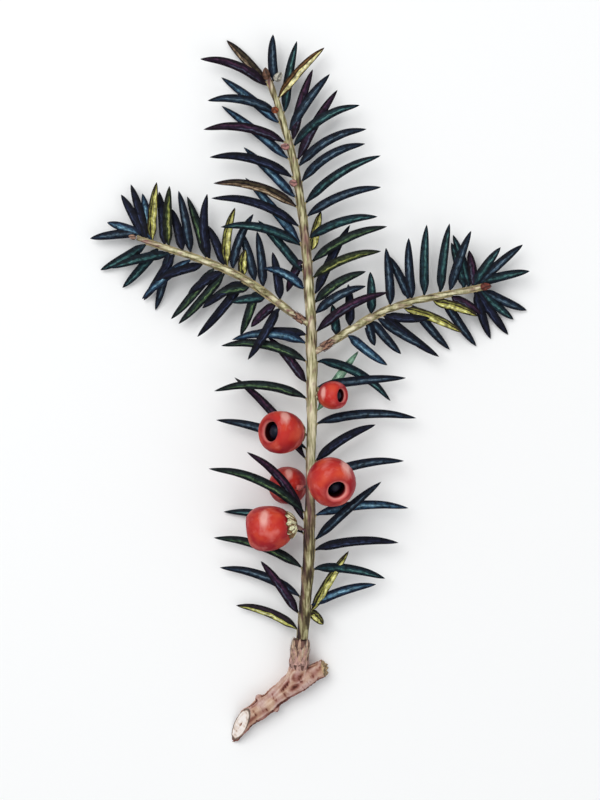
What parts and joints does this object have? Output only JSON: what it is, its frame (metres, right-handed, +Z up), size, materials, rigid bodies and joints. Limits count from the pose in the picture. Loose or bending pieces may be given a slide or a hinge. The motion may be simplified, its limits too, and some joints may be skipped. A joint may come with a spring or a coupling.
{
  "type": "cut yew sprig",
  "caption": "Cut fruiting sprig of english yew: a leading shoot and side shoots of flat needles, red seed cups and a foot of old wood.",
  "frame": {"origin": "on the surface that the sprig lies on, under the middle of its box", "axes": "+Y along the main stem to the tip of the leading shoot, +X to the sprig's right, +Z up from the surface, towards the side that faces the viewer"},
  "size_m": [0.1054, 0.1698, 0.023],
  "materials": {
    "old_bark": "rough",
    "ridged_stem": "satin",
    "bud_scale": "papery",
    "fruit_flesh": "satin",
    "seed_coat": "smooth",
    "needles": "waxy satin"
  },
  "bodies": {
    "root": {"bud_scale_collar": "bud_scale", "fruit_cup_1": "fruit_flesh", "fruit_cup_2": "fruit_flesh", "fruit_cup_3": "fruit_flesh", "fruit_cup_4": "fruit_flesh", "fruit_cup_5": "fruit_flesh", "fruit_stalk_1": "bud_scale", "fruit_stalk_2": "bud_scale", "fruit_stalk_3": "bud_scale", "fruit_stalk_4": "bud_scale", "fruit_stalk_5": "bud_scale", "leader_left_high": "needles", "leader_left_low": "needles", "leader_pale_bud": "bud_scale", "leader_right_high": "needles", "leader_right_low": "needles", "leader_side_bud_high": "bud_scale", "leader_side_bud_low": "bud_scale", "leader_side_bud_mid": "bud_scale", "leader_tip_bud": "bud_scale", "left_joint_scales": "bud_scale", "left_lower_inner": "needles", "left_lower_outer": "needles", "left_side_stem": "ridged_stem", "left_tip_bud": "bud_scale", "left_upper_inner": "needles", "left_upper_outer": "needles", "main_stem": "ridged_stem", "old_wood": "old_bark", "right_joint_scales": "bud_scale", "right_lower_inner": "needles", "right_lower_outer": "needles", "right_side_stem": "ridged_stem", "right_tip_bud": "bud_scale", "right_upper_inner": "needles", "right_upper_outer": "needles", "seed_1": "seed_coat", "seed_2": "seed_coat", "seed_3": "seed_coat", "seed_4": "seed_coat", "seed_5": "seed_coat", "stem_left_above_fruit": "needles", "stem_left_below_fruit": "needles", "stem_left_low": "needles", "stem_left_top": "needles", "stem_right_low": "needles", "stem_right_mid": "needles", "stem_right_top": "needles"}
  },
  "joints": []
}
